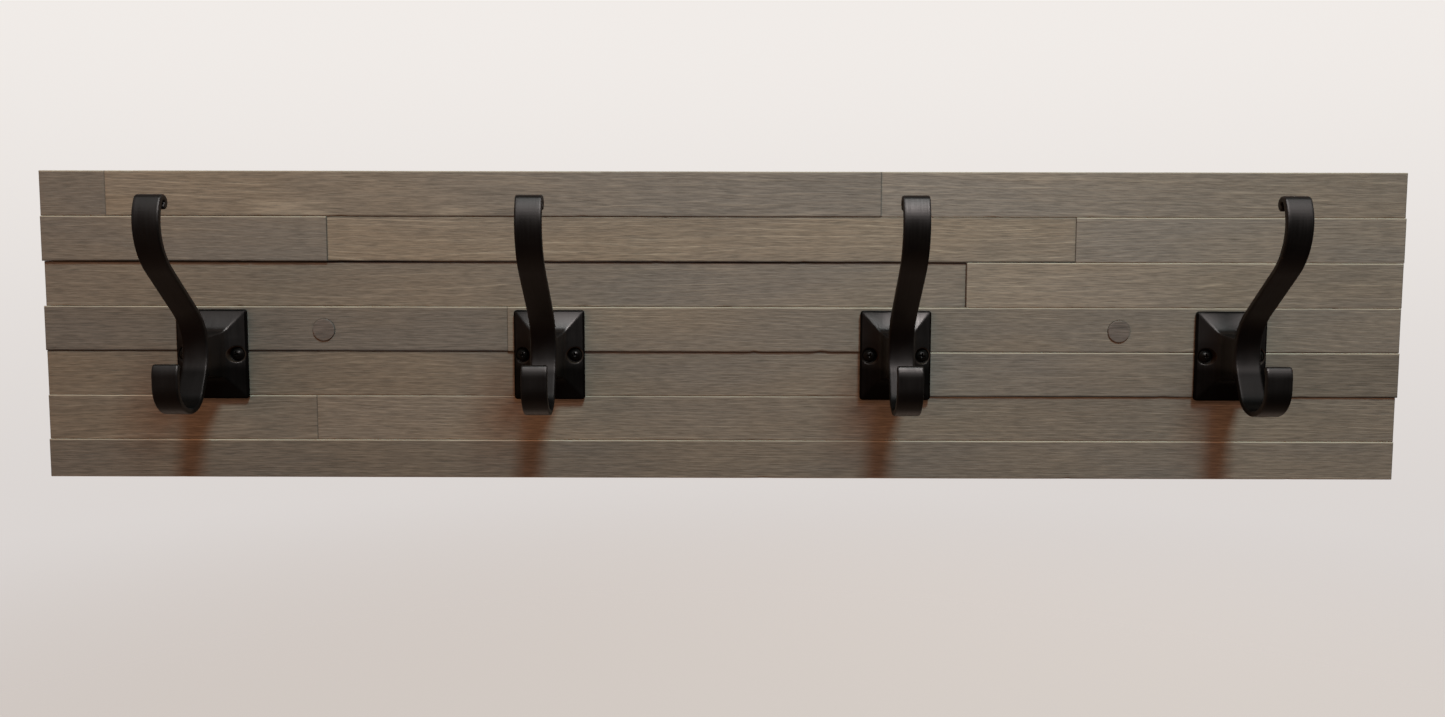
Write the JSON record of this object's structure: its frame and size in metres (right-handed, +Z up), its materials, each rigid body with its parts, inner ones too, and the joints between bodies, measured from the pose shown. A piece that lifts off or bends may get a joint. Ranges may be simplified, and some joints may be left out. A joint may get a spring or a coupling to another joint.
{
  "type": "wall hook rack",
  "caption": "Wall-mounted coat rack: staggered grey-stained wood slats on a backing panel, carrying cast dark bronze double hooks, with wooden plugs over the wall screw holes.",
  "frame": {"origin": "centre of the flat back face that lies on the wall", "axes": "+X to the right along the board as seen from the front, +Y into the wall, +Z up; the hooks stand out towards -Y"},
  "size_m": [0.9158, 0.1115, 0.207],
  "materials": {
    "panel_plywood": "raw plywood sheet, its edges stained grey",
    "slat_wood": "sawn softwood, weathered grey stain rubbed back to warm grain, matt",
    "hook_bronze": "dark oil-rubbed bronze finish on a zinc casting, satin",
    "screw_dark": "dark bronze plated screws, satin",
    "plug_wood": "turned wood plug, same grey stain, matt"
  },
  "bodies": {
    "rack": {"backing_panel": "panel_plywood", "slat_row1_left": "slat_wood", "slat_row1_middle": "slat_wood", "slat_row1_right": "slat_wood", "slat_row2_left": "slat_wood", "slat_row2_middle": "slat_wood", "slat_row2_right": "slat_wood", "slat_row3_left": "slat_wood", "slat_row3_right": "slat_wood", "slat_row4_left": "slat_wood", "slat_row4_right": "slat_wood", "slat_row5_left": "slat_wood", "slat_row5_right": "slat_wood", "slat_row6_left": "slat_wood", "slat_row6_right": "slat_wood", "slat_row7_full": "slat_wood", "hook_far_left": "hook_bronze", "hook_mid_left": "hook_bronze", "hook_mid_right": "hook_bronze", "hook_far_right": "hook_bronze", "hook_screws": "screw_dark"},
    "plug_left": {"plug_left": "plug_wood"},
    "plug_right": {"plug_right": "plug_wood"}
  },
  "joints": [
    {"name": "plug_left_pull", "type": "slide", "parent": "rack", "child": "plug_left", "axis": [0, -1, 0], "range_m": [0, 0.012]},
    {"name": "plug_right_pull", "type": "slide", "parent": "rack", "child": "plug_right", "axis": [0, -1, 0], "range_m": [0, 0.012]}
  ]
}
